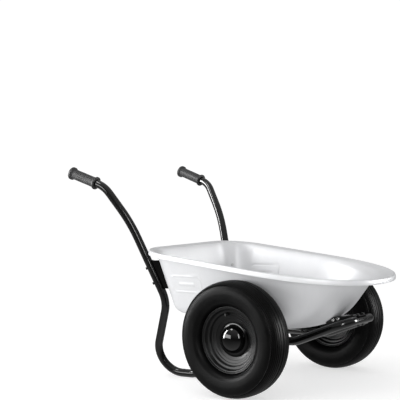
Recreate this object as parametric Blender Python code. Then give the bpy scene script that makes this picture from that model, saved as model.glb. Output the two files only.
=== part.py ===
"""Two-wheeled tub wheelbarrow. Metres; +X forwards, +Y left, +Z up; the ground is at z = 0.

Everything is modelled from the axle line (x = 0, z = WHEEL_RADIUS) under one empty, which moves the whole
barrow so that the scene's origin lies on the ground in the middle of its box.
"""

import math

import bmesh
import bpy
from mathutils import Matrix, Vector

# Driving dimensions -------------------------------------------------------------------------------------
GAP = 0.0003
WHEEL_RADIUS = 0.200
TYRE_WIDTH = 0.120
TRACK = 0.658
WHEEL_SIDES = 24

TUBE_RADIUS = 0.015
TUBE_WALL = 0.0016
TUBE_SIDES = 8

AXLE_RADIUS = 0.010
AXLE_SIDES = 16

SHEET = 0.0014
PLATE = 0.003
BOLT_RADIUS = 0.003
BOLT_HEAD = 0.0055

# The tray's rim (its top edge) and the corner line where its walls meet its floor
RIM_REAR_X = -0.460
RIM_FRONT_X = 0.391
RIM_REAR_Z = 0.4915
RIM_FRONT_Z = 0.396
RIM_HALF_WIDTH = 0.306
FLOOR_REAR_X = -0.370
FLOOR_FRONT_X = 0.175
FLOOR_REAR_Z = 0.2585
FLOOR_SLOPE = math.tan(math.radians(6.5))
FLOOR_HALF_WIDTH = 0.213
FLARE_REAR = 0.018
FLARE_SIDE = 0.032
FLARE_NOSE = 0.075

TUBE_LEVEL = 0.170

# Corner points of the left side tube's centreline, rear to front, with the bend radius at each
SIDE_TUBE_LINE = (
    ((-0.746, 0.331, 0.775), 0.0),
    ((-0.595, 0.318, 0.7225), 0.092),
    ((-0.502, 0.280, 0.586), 0.530),
    ((-0.395, 0.209, 0.291), 0.107),
    ((-0.520, 0.146, TUBE_RADIUS), 0.088),
    ((-0.322, 0.128, TUBE_RADIUS), 0.103),
    ((-0.085, 0.124, TUBE_LEVEL), 0.110),
    ((0.020, 0.118, TUBE_LEVEL), 0.0),
)
LOOP_LINE = (
    ((0.0206, 0.118, TUBE_LEVEL), 0.0),
    ((0.105, 0.114, TUBE_LEVEL), 0.110),
    ((0.302, 0.102, 0.246), 0.058),
    ((0.302, -0.102, 0.246), 0.058),
    ((0.105, -0.114, TUBE_LEVEL), 0.110),
    ((0.0206, -0.118, TUBE_LEVEL), 0.0),
)
BEND_STEPS = 3
SIDES = (("left", 1), ("right", -1))

BRACKET_LOW = 0.342
BRACKET_HIGH = 0.447
BRACKET_BOLT_SPACING = 0.056
BRACKET_WEB = 0.0165
CORNER_FLAT = (3, 4)
AXLE_BRACKET_Y = 0.1422
FLANGE_WIDTH = 0.026
FLOOR_STUD_X = -0.130
BRACE_X = -0.235
SUPPORT_WIDTH = 0.060
SUPPORT_HIGH = 0.2555
SUPPORT_RUN = 0.028
AXLE_PAST_MIDDLE = 0.0210

GRIP_LENGTH = 0.125
GRIP_RADIUS = 0.0195
GRIP_FLANGE = 0.0245

RIM_SHEET = 0.0018
VALVE_RADIUS = 0.0038
VALVE_HEIGHT = 0.0855
VALVE_TURN = Matrix.Rotation(math.radians(-12), 3, "Y")

ORIGIN_SHIFT = 0.1788


# Scene, materials and mesh helpers ----------------------------------------------------------------------
def clear_scene():
    for old in list(bpy.data.objects):
        bpy.data.objects.remove(old, do_unlink=True)


def make_material(name, colour, roughness, metallic):
    material = bpy.data.materials.new(name)
    material.use_nodes = True
    shader = material.node_tree.nodes["Principled BSDF"]
    shader.inputs["Base Color"].default_value = (*colour, 1.0)
    shader.inputs["Roughness"].default_value = roughness
    shader.inputs["Metallic"].default_value = metallic
    material.diffuse_color = (*colour, 1.0)
    return material


def make_empty(name, parent=None, location=(0, 0, 0)):
    empty = bpy.data.objects.new(name, None)
    bpy.context.scene.collection.objects.link(empty)
    empty.parent = parent
    empty.location = location
    return empty


def make_object(name, points, faces, material, parent, location=(0, 0, 0), sharp_angle=35):
    """A closed mesh object. The faces are turned to point outwards."""
    mesh = bpy.data.meshes.new(name)
    mesh.from_pydata([tuple(point) for point in points], [], faces)
    shell = bmesh.new()
    shell.from_mesh(mesh)
    bmesh.ops.recalc_face_normals(shell, faces=shell.faces)
    shell.to_mesh(mesh)
    shell.free()
    mesh.shade_smooth()
    mesh.set_sharp_from_angle(angle=math.radians(sharp_angle))
    mesh.materials.append(material)
    made = bpy.data.objects.new(name, mesh)
    bpy.context.scene.collection.objects.link(made)
    made.parent = parent
    made.location = location
    return made


def joined_rings(rings, closed_path=False):
    """Points and faces of a skin over rings of equal count; open paths get a cap at each end."""
    count = len(rings[0])
    points = [point for ring in rings for point in ring]
    faces = []
    last = len(rings) if closed_path else len(rings) - 1
    for row in range(last):
        here = row * count
        there = (row + 1) % len(rings) * count
        for step in range(count):
            beside = (step + 1) % count
            faces.append((here + step, here + beside, there + beside, there + step))
    if not closed_path:
        faces.append(tuple(range(count)))
        faces.append(tuple(range(len(points) - count, len(points))))
    return points, faces


def turned(name, profile, material, parent, sides=WHEEL_SIDES, location=(0, 0, 0), outboard=1):
    """A ring turned about the Y axis. The profile is a closed loop of (radius, offset along Y)."""
    rings = []
    for step in range(sides):
        angle = 2 * math.pi * step / sides - math.pi / 2
        ring = [(r * math.cos(angle), outboard * y, r * math.sin(angle)) for r, y in profile]
        rings.append(ring)
    points, faces = joined_rings(rings, closed_path=True)
    return make_object(name, points, faces, material, parent, location)


def turned_solid(name, profile, material, parent, sides, location=(0, 0, 0), outboard=1):
    """A solid turned about the Y axis: rings at each (radius, offset), with a flat cap at both ends."""
    angles = [2 * math.pi * step / sides - math.pi / 2 for step in range(sides)]
    rings = [[(r * math.cos(a), outboard * y, r * math.sin(a)) for a in angles] for r, y in profile]
    points, faces = joined_rings(rings)
    return make_object(name, points, faces, material, parent, location)


def bent_path(line, steps=BEND_STEPS):
    """Points along straight runs joined by arcs: each corner of the line gives way to its bend radius."""
    path = [Vector(line[0][0])]
    for index in range(1, len(line) - 1):
        before = Vector(line[index - 1][0])
        corner, radius = Vector(line[index][0]), line[index][1]
        after = Vector(line[index + 1][0])
        back = (before - corner).normalized()
        ahead = (after - corner).normalized()
        half = back.angle(ahead) / 2
        start = corner + back * (radius / math.tan(half))
        centre = corner + (back + ahead).normalized() * (radius / math.sin(half))
        spoke = start - centre
        turn_axis = back.cross(ahead).normalized()
        turn = math.pi - 2 * half
        count = max(3, math.ceil(steps * turn / (math.pi / 2)) + 1)
        for step in range(count + 1):
            path.append(centre + Matrix.Rotation(-turn * step / count, 3, turn_axis) @ spoke)
    path.append(Vector(line[-1][0]))
    return path


def path_frames(path, reference):
    """(point, tangent, side, up) along a path, with the side vector held close to the reference."""
    frames = []
    for index, point in enumerate(path):
        before = path[max(index - 1, 0)]
        after = path[min(index + 1, len(path) - 1)]
        tangent = (after - before).normalized()
        side = (reference - tangent * reference.dot(tangent)).normalized()
        frames.append((point, tangent, side, tangent.cross(side)))
    return frames


def ring_around(frame, radius, sides):
    point, _, side, up = frame
    angles = [2 * math.pi * step / sides - math.pi / 2 for step in range(sides)]
    return [point + side * (radius * math.cos(a)) + up * (radius * math.sin(a)) for a in angles]


def make_tube(name, path, reference, material, parent):
    """A hollow tube: its outer skin runs along the path and its bore runs back."""
    frames = path_frames(path, reference)
    outer = [ring_around(frame, TUBE_RADIUS, TUBE_SIDES) for frame in frames]
    inner = [ring_around(frame, TUBE_RADIUS - TUBE_WALL, TUBE_SIDES) for frame in reversed(frames)]
    points, faces = joined_rings(outer + inner, closed_path=True)
    return make_object(name, points, faces, material, parent)


def across(direction):
    """Two unit vectors square to a direction, and to each other."""
    direction = Vector(direction).normalized()
    helper = Vector((0, 0, 1)) if abs(direction.z) < 0.9 else Vector((1, 0, 0))
    first = direction.cross(helper).normalized()
    return first, direction.cross(first).normalized()


def disc_ring(centre, direction, radius, sides):
    first, second = across(direction)
    angles = [2 * math.pi * step / sides for step in range(sides)]
    return [centre + first * (radius * math.cos(a)) + second * (radius * math.sin(a)) for a in angles]


def make_bolt(name, start, end, material, parent, drilled=(), radius=BOLT_RADIUS, head=BOLT_HEAD,
              headless=False):
    """A hexagon bolt with its nut on, gripping from start to end. Each drilled object gets its hole. A
    headless bolt is a stud that begins at its start."""
    start, end = Vector(start), Vector(end)
    direction = (end - start).normalized()
    start = start - direction * GAP
    end = end + direction * GAP
    head_height = radius * 1.3
    nut_height = radius * 1.5
    tail = radius * 0.8
    stations = (
        (start - direction * head_height, head),
        (start, head),
        (start, radius),
        (end, radius),
        (end, head),
        (end + direction * nut_height, head),
        (end + direction * nut_height, radius),
        (end + direction * (nut_height + tail), radius),
    )
    if headless:
        stations = stations[2:]
    rings = [disc_ring(centre, direction, size, 6) for centre, size in stations]
    points, faces = joined_rings(rings)
    bolt = make_object(name, points, faces, material, parent, sharp_angle=20)
    if drilled:
        drill(drilled, start, end, radius + 2 * GAP, parent, name)
    return bolt


def drill(targets, start, end, radius, parent, name):
    """Cuts a round hole from start to end through each target."""
    direction = (end - start).normalized()
    reach = direction * 0.002
    corner = radius / math.cos(math.pi / 8)
    rings = [disc_ring(centre, direction, corner, 8) for centre in (start - reach, end + reach)]
    points, faces = joined_rings(rings)
    cutter = make_object(f"cutter_{name}", points, faces, targets[0].data.materials[0], parent)
    cutter.hide_render = True
    cutter.display_type = "WIRE"
    for target in targets:
        hole = target.modifiers.new(f"hole_{name}", "BOOLEAN")
        hole.operation = "DIFFERENCE"
        hole.solver = "EXACT"
        hole.object = cutter


def extruded(name, outline, depth, material, parent):
    """A plate: the outline's points, pushed along the depth vector."""
    depth = Vector(depth)
    rings = [[Vector(point) for point in outline], [Vector(point) + depth for point in outline]]
    points, faces = joined_rings(rings)
    return make_object(name, points, faces, material, parent, sharp_angle=20)


def strip_section(line, normal, thickness):
    """The corners of a folded strip's edge: both faces of the strip along a line of flat runs."""
    outer, inner = [], []
    for index, point in enumerate(line):
        back = (point - line[index - 1]).normalized() if index else None
        ahead = (line[index + 1] - point).normalized() if index < len(line) - 1 else None
        back = back or ahead
        ahead = ahead or back
        square = (normal.cross(back) + normal.cross(ahead)).normalized()
        stretch = 1 / square.dot(normal.cross(back))
        outer.append(point + square * (thickness / 2 * stretch))
        inner.append(point - square * (thickness / 2 * stretch))
    return outer + inner[::-1]


def folded_strip(name, line, depth, thickness, material, parent):
    """A folded plate: a strip along the points of a flat line, as wide as the depth vector is long."""
    section = strip_section([Vector(point) for point in line], Vector(depth).normalized(), thickness)
    return extruded(name, section, depth, material, parent)


def ruled_strip(name, lines, thickness, material, parent):
    """A folded plate between a lower and an upper line of corners, each line at one height."""
    rings = [strip_section(line, Vector((0, 0, 1)), thickness) for line in lines]
    points, faces = joined_rings(rings)
    return make_object(name, points, faces, material, parent, sharp_angle=20)


# Tray ---------------------------------------------------------------------------------------------------
def outline(rear_x, front_x, half_width, corner, nose_length, fullness):
    """(x, y) points from the middle of the rear by way of the left side to the nose, and back by the right:
    rounded rear corners, sides and a full round nose."""
    half = [(rear_x, 0.0), (rear_x, (half_width - corner) * 0.5)]
    for step in range(5):
        angle = math.pi / 2 * step / 4
        x = rear_x + corner - corner * math.cos(angle)
        half.append((x, half_width - corner + corner * math.sin(angle)))
    side_start = rear_x + corner
    side_end = front_x - nose_length
    for step in (1, 2, 3):
        half.append((side_start + (side_end - side_start) * step / 3, half_width))
    nose_steps = 9
    for step in range(1, nose_steps + 1):
        angle = math.pi / 2 * step / nose_steps
        x = side_end + nose_length * math.sin(angle) ** (2 / fullness)
        half.append((x, max(half_width * math.cos(angle), 0.0) ** (2 / fullness)
                     * half_width ** (1 - 2 / fullness)))
    half[-1] = (front_x, 0.0)
    return half + [(x, -y) for x, y in reversed(half[1:-1])]


def floor_height(x):
    return FLOOR_REAR_Z - FLOOR_SLOPE * (x - FLOOR_REAR_X)


def rim_height(x):
    share = (x - RIM_REAR_X) / (RIM_FRONT_X - RIM_REAR_X)
    return RIM_REAR_Z + share * (RIM_FRONT_Z - RIM_REAR_Z)


def rim_outline(grow):
    return outline(RIM_REAR_X - grow, RIM_FRONT_X + grow, RIM_HALF_WIDTH + grow, 0.136 + grow,
                   0.395 + grow, 2.26)


def tray_rings():
    """Rings of the tray's inner skin, from the edge of the flat floor out and up to the rim's skirt."""
    corner_line = outline(FLOOR_REAR_X, FLOOR_FRONT_X, FLOOR_HALF_WIDTH, 0.045, 0.19, 2.2)
    wall_top = outline(RIM_REAR_X + FLARE_REAR, RIM_FRONT_X - FLARE_NOSE, RIM_HALF_WIDTH - FLARE_SIDE,
                       0.112, 0.36, 2.3)
    nose_x = FLOOR_FRONT_X - 0.19
    rings = []
    corners = [Vector((x, y, floor_height(x))) for x, y in corner_line]
    noses = [min(max((corner.x - nose_x) / 0.19, 0.0), 1.0) for corner in corners]
    noses = [nose * nose * (3 - 2 * nose) for nose in noses]
    tops = [Vector((x, y, rim_height(x) - 0.013 - 0.014 * nose)) for (x, y), nose in zip(wall_top, noses)]
    middle = Vector((-0.09, 0, floor_height(-0.09)))
    for share in (0.0, 0.25, 0.5, 0.75, 1.0):
        ring = []
        for corner, top, nose in zip(corners, tops, noses):
            run_in = 0.028 + 0.10 * nose
            run_up = 0.14 + 0.44 * nose
            start = corner + (middle - corner).normalized() * run_in
            start.z = floor_height(start.x)
            end = corner.lerp(top, run_up)
            ring.append(start * (1 - share) ** 2 + corner * (2 * share * (1 - share)) + end * share ** 2)
        rings.append(ring)
    walls = rings[-1]
    for share in (0.4, 0.75, 1.0):
        rings.append([low.lerp(top, share) for low, top in zip(walls, tops)])
    crest = [Vector((x, y, rim_height(x))) for x, y in rim_outline(-0.004)]
    rings.append([low.lerp(high, 0.42) + Vector((0, 0, 0.0035)) for low, high in zip(tops, crest)])
    for grow, drop in ((-0.0040, 0.0012), (0.0, 0.0), (0.0045, 0.0022), (0.0075, 0.007), (0.0085, 0.0185)):
        rings.append([Vector((x, y, rim_height(x) - drop)) for x, y in rim_outline(grow)])
    return rings


def make_tray(material, parent):
    """Two stacks of rings, one for each face of the sheet, meet at the skirt and close at the floor."""
    skin = tray_rings()
    count = len(skin[0])
    thick = []
    for row, ring in enumerate(skin):
        offset_ring = []
        for index, point in enumerate(ring):
            along = ring[(index + 1) % count] - ring[index - 1]
            below = skin[max(row - 1, 0)][index]
            above = skin[min(row + 1, len(skin) - 1)][index]
            outward = (above - below).cross(along).normalized()
            if row == 0:
                outward = Vector((-FLOOR_SLOPE, 0, -1)).normalized()
            offset_ring.append(point + outward * SHEET)
        thick.append(offset_ring)
    rings = skin + thick[::-1]
    points, faces = joined_rings(rings)
    return make_object("tray", points, faces, material, parent, sharp_angle=50)


# Frame --------------------------------------------------------------------------------------------------
def side_path(hand):
    return bent_path([((x, hand * y, z), radius) for (x, y, z), radius in SIDE_TUBE_LINE])


def loop_path():
    return bent_path(LOOP_LINE)


def make_grip(name, hand, material, parent):
    """A sleeve over the tube's end, with a flange at each end and a closed outer end with a small hole."""
    end = Vector(SIDE_TUBE_LINE[0][0])
    inner = Vector(SIDE_TUBE_LINE[1][0])
    end.y *= hand
    inner.y *= hand
    direction = (inner - end).normalized()
    bore = TUBE_RADIUS + GAP + 0.0004
    stations = (
        (-0.004, 0.0055), (-0.004, GRIP_FLANGE - 0.002), (-0.002, GRIP_FLANGE), (0.004, GRIP_FLANGE),
        (0.007, GRIP_RADIUS), (GRIP_LENGTH - 0.012, GRIP_RADIUS), (GRIP_LENGTH - 0.009, GRIP_FLANGE),
        (GRIP_LENGTH - 0.005, GRIP_FLANGE), (GRIP_LENGTH - 0.004, bore), (-GAP, bore), (-GAP, 0.0055),
    )
    rings = [disc_ring(end + direction * along, direction, radius, 12) for along, radius in stations]
    points, faces = joined_rings(rings, closed_path=True)
    return make_object(name, points, faces, material, parent, sharp_angle=40)


def corner_flat(z, hand):
    """At height z, the middle of the flat that faces out of the tray's rear corner, on its outer face, with
    the unit vectors along the flat (forwards) and out of it."""
    skin = tray_rings()
    ends = []
    for column in CORNER_FLAT:
        low, high = skin[4][column], skin[7][column]
        ends.append(low.lerp(high, (z - low.z) / (high.z - low.z)))
    along = (ends[1] - ends[0]).normalized()
    out = Vector((0, 0, 1)).cross(along)
    middle = (ends[0] + ends[1]) / 2 + out * SHEET * 1.1
    for vector in (along, out, middle):
        vector.y *= hand
    return middle, along, out


def handle_line(z, hand):
    """The point at height z on the straight part of the handle, above the leg."""
    low, high = Vector(SIDE_TUBE_LINE[3][0]), Vector(SIDE_TUBE_LINE[2][0])
    point = low.lerp(high, (z - low.z) / (high.z - low.z))
    point.y *= hand
    return point


def make_rear_bracket(side, hand, tray, tube, materials, parent):
    """A channel folded from plate, with one flange on the tray's rear corner and one on the side tube. Two
    bolts hold it to the tube and one to the tray."""
    half = PLATE / 2
    lines = []
    for z in (BRACKET_LOW, BRACKET_HIGH):
        middle, along, out = corner_flat(z, hand)
        to_tube = handle_line(z, hand) - middle
        near, far = GAP + half, to_tube.dot(out) - (TUBE_RADIUS + GAP + half) * 1.055
        plan = (
            (-0.014, near),
            (BRACKET_WEB, near),
            (BRACKET_WEB, far),
            (to_tube.dot(along) - 0.014, far),
        )
        lines.append([middle + along * ahead + out * away for ahead, away in plan])
    bracket = ruled_strip(f"rear_bracket_{side}", lines, PLATE, materials["paint"], parent)
    up = (handle_line(BRACKET_HIGH, hand) - handle_line(BRACKET_LOW, hand)).normalized()
    level = (BRACKET_LOW + BRACKET_HIGH) / 2
    middle, along, out = corner_flat(level, hand)
    outwards = (out - up * out.dot(up)).normalized()
    for name, climb in (("upper", BRACKET_BOLT_SPACING / 2), ("lower", -BRACKET_BOLT_SPACING / 2)):
        centre = handle_line(level + climb, hand)
        make_bolt(f"rear_bracket_{name}_bolt_{side}", centre + outwards * (TUBE_RADIUS + GAP),
                  centre - outwards * (TUBE_RADIUS + 4 * GAP + PLATE), materials["zinc"], parent,
                  (tube, bracket))
    rise = corner_flat(BRACKET_HIGH, hand)[0] - corner_flat(BRACKET_LOW, hand)[0]
    square = along.cross(rise).normalized()
    square *= math.copysign(1, square.dot(out))
    make_bolt(f"rear_bracket_tray_bolt_{side}", middle - square * (SHEET * 1.1 + 0.0004),
              middle + square * (PLATE + 2 * GAP), materials["zinc"], parent, (tray, bracket))
    return bracket


def make_axle_bracket(side, hand, tray, tube, materials, parent):
    """A trapezoid plate on the outer side of the side tube, which carries the axle and, on its top flange,
    the tray's floor. A stud welded under the floor goes through the flange and takes a nut."""
    y = hand * AXLE_BRACKET_Y
    top_rear, top_front = -0.205, 0.060
    lift = SHEET + GAP + 0.0002
    corners = (
        (top_rear, floor_height(top_rear) - lift),
        (-0.165, 0.110),
        (-0.100, TUBE_LEVEL - 0.014),
        (0.040, TUBE_LEVEL - 0.014),
        (top_front, floor_height(top_front) - lift),
    )
    web = [(x, y, z) for x, z in corners]
    bracket = extruded(f"axle_bracket_{side}", web, (0, hand * PLATE, 0), materials["paint"], parent)
    flange = [
        (top_rear, y, floor_height(top_rear) - lift),
        (top_front, y, floor_height(top_front) - lift),
        (top_front, y, floor_height(top_front) - lift - PLATE),
        (top_rear, y, floor_height(top_rear) - lift - PLATE),
    ]
    helper = extruded(f"flange_{side}", flange, (0, hand * FLANGE_WIDTH, 0), materials["paint"], parent)
    helper.hide_render = True
    helper.display_type = "WIRE"
    weld = bracket.modifiers.new("flange", "BOOLEAN")
    weld.operation = "UNION"
    weld.solver = "EXACT"
    weld.object = helper
    axle_line = Vector((0, y, WHEEL_RADIUS))
    drill((bracket,), axle_line, axle_line + Vector((0, hand * PLATE, 0)), AXLE_RADIUS + 0.0008, parent,
          f"axle_{side}")
    for name, x in (("rear", -0.070), ("front", -0.005)):
        inner = Vector((x, hand * (tube_y(x) - TUBE_RADIUS - 0.0004), TUBE_LEVEL))
        outer = Vector((x, y + hand * PLATE, TUBE_LEVEL))
        make_bolt(f"axle_bracket_{name}_bolt_{side}", inner, outer, materials["zinc"], parent,
                  (tube, bracket))
    normal = Vector((FLOOR_SLOPE, 0, 1)).normalized()
    on_floor = Vector((FLOOR_STUD_X, y + hand * 0.015, floor_height(FLOOR_STUD_X)))
    underside = on_floor - normal * SHEET
    make_bolt(f"floor_stud_{side}", underside - normal * 2 * GAP, underside - normal * (lift + PLATE - SHEET),
              materials["zinc"], parent, (bracket,), headless=True)
    return bracket


def tube_y(x):
    """Half the distance between the side tubes' centrelines, on their run under the tray."""
    (rear, _), (front, _) = SIDE_TUBE_LINE[6], SIDE_TUBE_LINE[7]
    return rear[1] + (front[1] - rear[1]) * (x - rear[0]) / (front[0] - rear[0])


def make_cross_brace(tubes, materials, parent):
    """A short tube between the side tubes, behind the axle, with a bolt through each side tube into it."""
    low, high = Vector(SIDE_TUBE_LINE[5][0]), Vector(SIDE_TUBE_LINE[6][0])
    centre = low.lerp(high, (BRACE_X - low.x) / (high.x - low.x))
    half = centre.y - TUBE_RADIUS - 0.0006
    middle = Vector((centre.x, 0, centre.z))
    stations = ((-half, 0.011), (half, 0.011), (half, 0.0085), (-half, 0.0085))
    along = Vector((0, 1, 0))
    rings = [disc_ring(middle + along * y, along, radius, 12) for y, radius in stations]
    points, faces = joined_rings(rings, closed_path=True)
    make_object("cross_brace", points, faces, materials["paint"], parent)
    for (side, hand), tube in zip(SIDES, tubes):
        outer = Vector((centre.x, hand * (centre.y + TUBE_RADIUS + 0.0003), centre.z))
        inner = Vector((centre.x, hand * (half + 0.0002), centre.z))
        make_bolt(f"cross_brace_bolt_{side}", outer, inner, materials["zinc"], parent, (tube,))


def nose_wall(z):
    """X of the tray's inner face at the middle of its nose, and the wall's direction upwards there."""
    skin = tray_rings()
    front = len(skin[0]) // 2
    column = [ring[front] for ring in skin]
    for low, high in zip(column[1:], column[2:]):
        if high.z >= z:
            return low.lerp(high, (z - low.z) / (high.z - low.z)), (high - low).normalized()


def make_front_support(tray, loop, materials, parent):
    """A folded plate from the top of the front loop's cross portion to the tray's nose and down its wall.
    Two bolts hold it to the loop and two to the tray."""
    cross_x, cross_z = LOOP_LINE[2][0][0], LOOP_LINE[2][0][2]
    over = cross_z + TUBE_RADIUS + GAP + PLATE / 2
    top, up = nose_wall(SUPPORT_HIGH)
    outward = Vector((up.z, 0, -up.x))
    away = outward * (SHEET + 0.0004 + PLATE / 2)
    line = [
        Vector((cross_x + 0.013, 0, over)),
        Vector((cross_x - 0.015, 0, over)),
        top + away,
        top - up * SUPPORT_RUN + away,
    ]
    line = [point - Vector((0, SUPPORT_WIDTH / 2, 0)) for point in line]
    support = folded_strip("front_support", line, (0, SUPPORT_WIDTH, 0), PLATE, materials["paint"], parent)
    for side, hand in SIDES:
        beside = Vector((0, hand * SUPPORT_WIDTH * 0.28, 0))
        centre = Vector((cross_x, 0, cross_z)) + beside
        make_bolt(f"front_support_bolt_{side}", centre + Vector((0, 0, TUBE_RADIUS + 2 * GAP + PLATE)),
                  centre - Vector((0, 0, TUBE_RADIUS)), materials["zinc"], parent, (loop, support))
        on_wall = top - up * SUPPORT_RUN * 0.6 + beside
        make_bolt(f"front_support_tray_bolt_{side}", on_wall - outward * 0.0022,
                  on_wall + away + outward * (PLATE / 2 + GAP), materials["zinc"], parent,
                  (tray, support))


def make_axle(materials, parent):
    reach = TRACK / 2 + AXLE_PAST_MIDDLE
    stations = ((AXLE_RADIUS - 0.001, -reach), (AXLE_RADIUS, -reach + 0.001), (AXLE_RADIUS, reach - 0.001),
                (AXLE_RADIUS - 0.001, reach))
    turned_solid("axle", stations, materials["zinc"], parent, AXLE_SIDES, (0, 0, WHEEL_RADIUS))
    for side, hand in SIDES:
        middle = (0, hand * TRACK / 2, WHEEL_RADIUS)
        bore = AXLE_RADIUS + GAP
        for name, inner, outer, size in (("axle_collar", -0.0520, -0.0404, 0.0165),
                                         ("axle_washer", 0.0108, 0.0126, 0.0170)):
            section = ((bore, outer), (size, outer), (size, inner), (bore, inner))
            turned(f"{name}_{side}", section, materials["zinc"], parent, AXLE_SIDES, middle, hand)
        nut_bore = bore / math.cos(math.pi / 6)
        section = ((nut_bore, 0.0188), (0.0168, 0.0188), (0.0168, 0.0129), (nut_bore, 0.0129))
        turned(f"axle_nut_{side}", section, materials["zinc"], parent, 6, middle, hand)


# Wheels -------------------------------------------------------------------------------------------------
def section_arc(centre, height, half_width, steps):
    """Points of a squarish arch, (radius, offset), from one sidewall of the tyre to the other."""
    arc = []
    for step in range(-steps, steps + 1):
        angle = math.pi / 2 * step / steps
        wide = math.copysign(abs(math.sin(angle)) ** 0.75, angle)
        arc.append((centre + height * max(math.cos(angle), 0.0) ** 0.5, half_width * wide))
    return arc


def tyre_section():
    """Closed C-section of the tyre: tread and sidewalls outside, then the beads and the hollow inside."""
    half_width = TYRE_WIDTH / 2
    outer = section_arc(0.145, WHEEL_RADIUS - 0.145, half_width, 3)
    flank = [(0.1290, 0.0535), (0.1180, 0.0385), (0.1160, 0.0290), (0.1090, 0.0265), (0.1070, 0.0180),
             (0.1240, 0.0400)]
    inner = section_arc(0.1450, 0.0485, half_width - 0.006, 2)
    far_flank = [(radius, -offset) for radius, offset in reversed(flank)]
    return outer + flank + inner[::-1] + far_flank


def thickened(line, thickness):
    """Closed section of a sheet: the line of its visible face, and the same line pushed back."""
    back = []
    for index, (radius, offset) in enumerate(line):
        before = line[max(index - 1, 0)]
        after = line[min(index + 1, len(line) - 1)]
        run = Vector((after[0] - before[0], after[1] - before[1])).normalized()
        back.append((radius + run.y * thickness * -1, offset + run.x * thickness))
    return list(line) + back[::-1]


def rim_section():
    """Closed section of one pressed rim half, from the bead flange down its steps to the hub."""
    face = (
        (0.1150, 0.0325), (0.1080, 0.0297), (0.1020, 0.0225), (0.0950, 0.0200), (0.0910, 0.0143),
        (0.0810, 0.0128), (0.0600, 0.0026), (0.0170, 0.0026),
    )
    return thickened(face, RIM_SHEET)


def make_inner_tube(side, material, parent):
    """A hollow ring with a hole through its inner wall for the valve stem."""
    count = 6
    skins = []
    for shrink in (0.0, 0.0022):
        skins.append([(0.1555 + (0.031 - shrink) * math.sin(2 * math.pi * k / count),
                       (0.040 - shrink) * math.cos(2 * math.pi * k / count)) for k in range(count)])
    sides = 16
    points, faces = [], []
    for number, skin in enumerate(skins):
        rings = []
        for step in range(sides):
            angle = 2 * math.pi * step / sides - math.pi / 2
            rings.append([(r * math.cos(angle), y, r * math.sin(angle)) for r, y in skin])
        skin_points, skin_faces = joined_rings(rings, closed_path=True)
        start = len(points)
        turn = 1 if number == 0 else -1
        points += skin_points
        faces += [tuple(start + corner for corner in face)[::turn] for face in skin_faces]
    mesh = bpy.data.meshes.new(f"inner_tube_{side}")
    mesh.from_pydata(points, [], faces)
    mesh.shade_smooth()
    mesh.materials.append(material)
    tube = bpy.data.objects.new(f"inner_tube_{side}", mesh)
    bpy.context.scene.collection.objects.link(tube)
    tube.parent = parent
    drill((tube,), VALVE_TURN @ Vector((0, 0, 0.118)), VALVE_TURN @ Vector((0, 0, 0.136)),
          VALVE_RADIUS + 0.0006, parent, f"valve_{side}")
    return tube


def make_valve(side, hand, rim, materials, parent):
    """The valve stem rises from the inner tube, bends outboard and ends in a cap."""
    line = (
        ((0, 0, 0.1285), 0.0),
        ((0, 0, VALVE_HEIGHT), 0.010),
        ((0, hand * 0.0215, VALVE_HEIGHT), 0.0),
    )
    path = [VALVE_TURN @ point for point in bent_path(line)]
    frames = path_frames(path, Vector((1, 0, 0)))
    rings = [ring_around(frame, VALVE_RADIUS, 8) for frame in frames]
    tip = path[-1]
    way = Vector((0, hand, 0))
    end_frame = frames[-1]
    for along, radius in ((0.0, 0.0052), (0.0115, 0.0052), (0.0130, 0.0040)):
        frame = (tip + way * along, *end_frame[1:])
        rings.append(ring_around(frame, radius, 8))
    points, faces = joined_rings(rings)
    make_object(f"valve_stem_{side}", points, faces, materials["rubber"], parent)
    seat = VALVE_TURN @ Vector((0, 0, VALVE_HEIGHT))
    drill((rim,), seat + way * 0.004, seat + way * 0.020, VALVE_RADIUS + 0.0006, parent, f"rim_{side}")


def make_wheel(side, hand, materials, parent):
    """One wheel about its own axis empty; offsets count outboard from the wheel's middle."""
    axis = make_empty(f"{side}_wheel_axis", parent, (0, hand * TRACK / 2, WHEEL_RADIUS))
    turned(f"tyre_{side}", tyre_section(), materials["tyre"], axis, outboard=hand)
    outer_rim = turned(f"rim_outer_{side}", rim_section(), materials["rim"], axis, outboard=hand)
    turned(f"rim_inner_{side}", rim_section(), materials["rim"], axis, outboard=-hand)
    make_inner_tube(side, materials["rubber"], axis)
    make_valve(side, hand, outer_rim, materials, axis)
    sleeve = ((0.0132, 0.0105), (0.0162, 0.0105), (0.0162, -0.0400), (0.0132, -0.0400))
    turned(f"hub_sleeve_{side}", sleeve, materials["zinc"], axis, AXLE_SIDES, outboard=hand)
    for name, outer, inner in (("outer", 0.0105, -0.0095), ("inner", -0.0200, -0.0400)):
        bush = ((AXLE_RADIUS + GAP, outer), (0.0128, outer), (0.0128, inner), (AXLE_RADIUS + GAP, inner))
        turned(f"bush_{name}_{side}", bush, materials["plastic"], axis, AXLE_SIDES, outboard=hand)
    dome = (
        (0.0060, 0.0385), (0.0250, 0.0350), (0.0380, 0.0265), (0.0465, 0.0130), (0.0465, 0.0036),
        (0.0485, 0.0036), (0.0485, 0.0140), (0.0400, 0.0282), (0.0265, 0.0368), (0.0060, 0.0405),
    )
    turned_solid(f"hub_cap_{side}", dome, materials["gloss"], axis, AXLE_SIDES, outboard=hand)
    return axis


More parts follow.
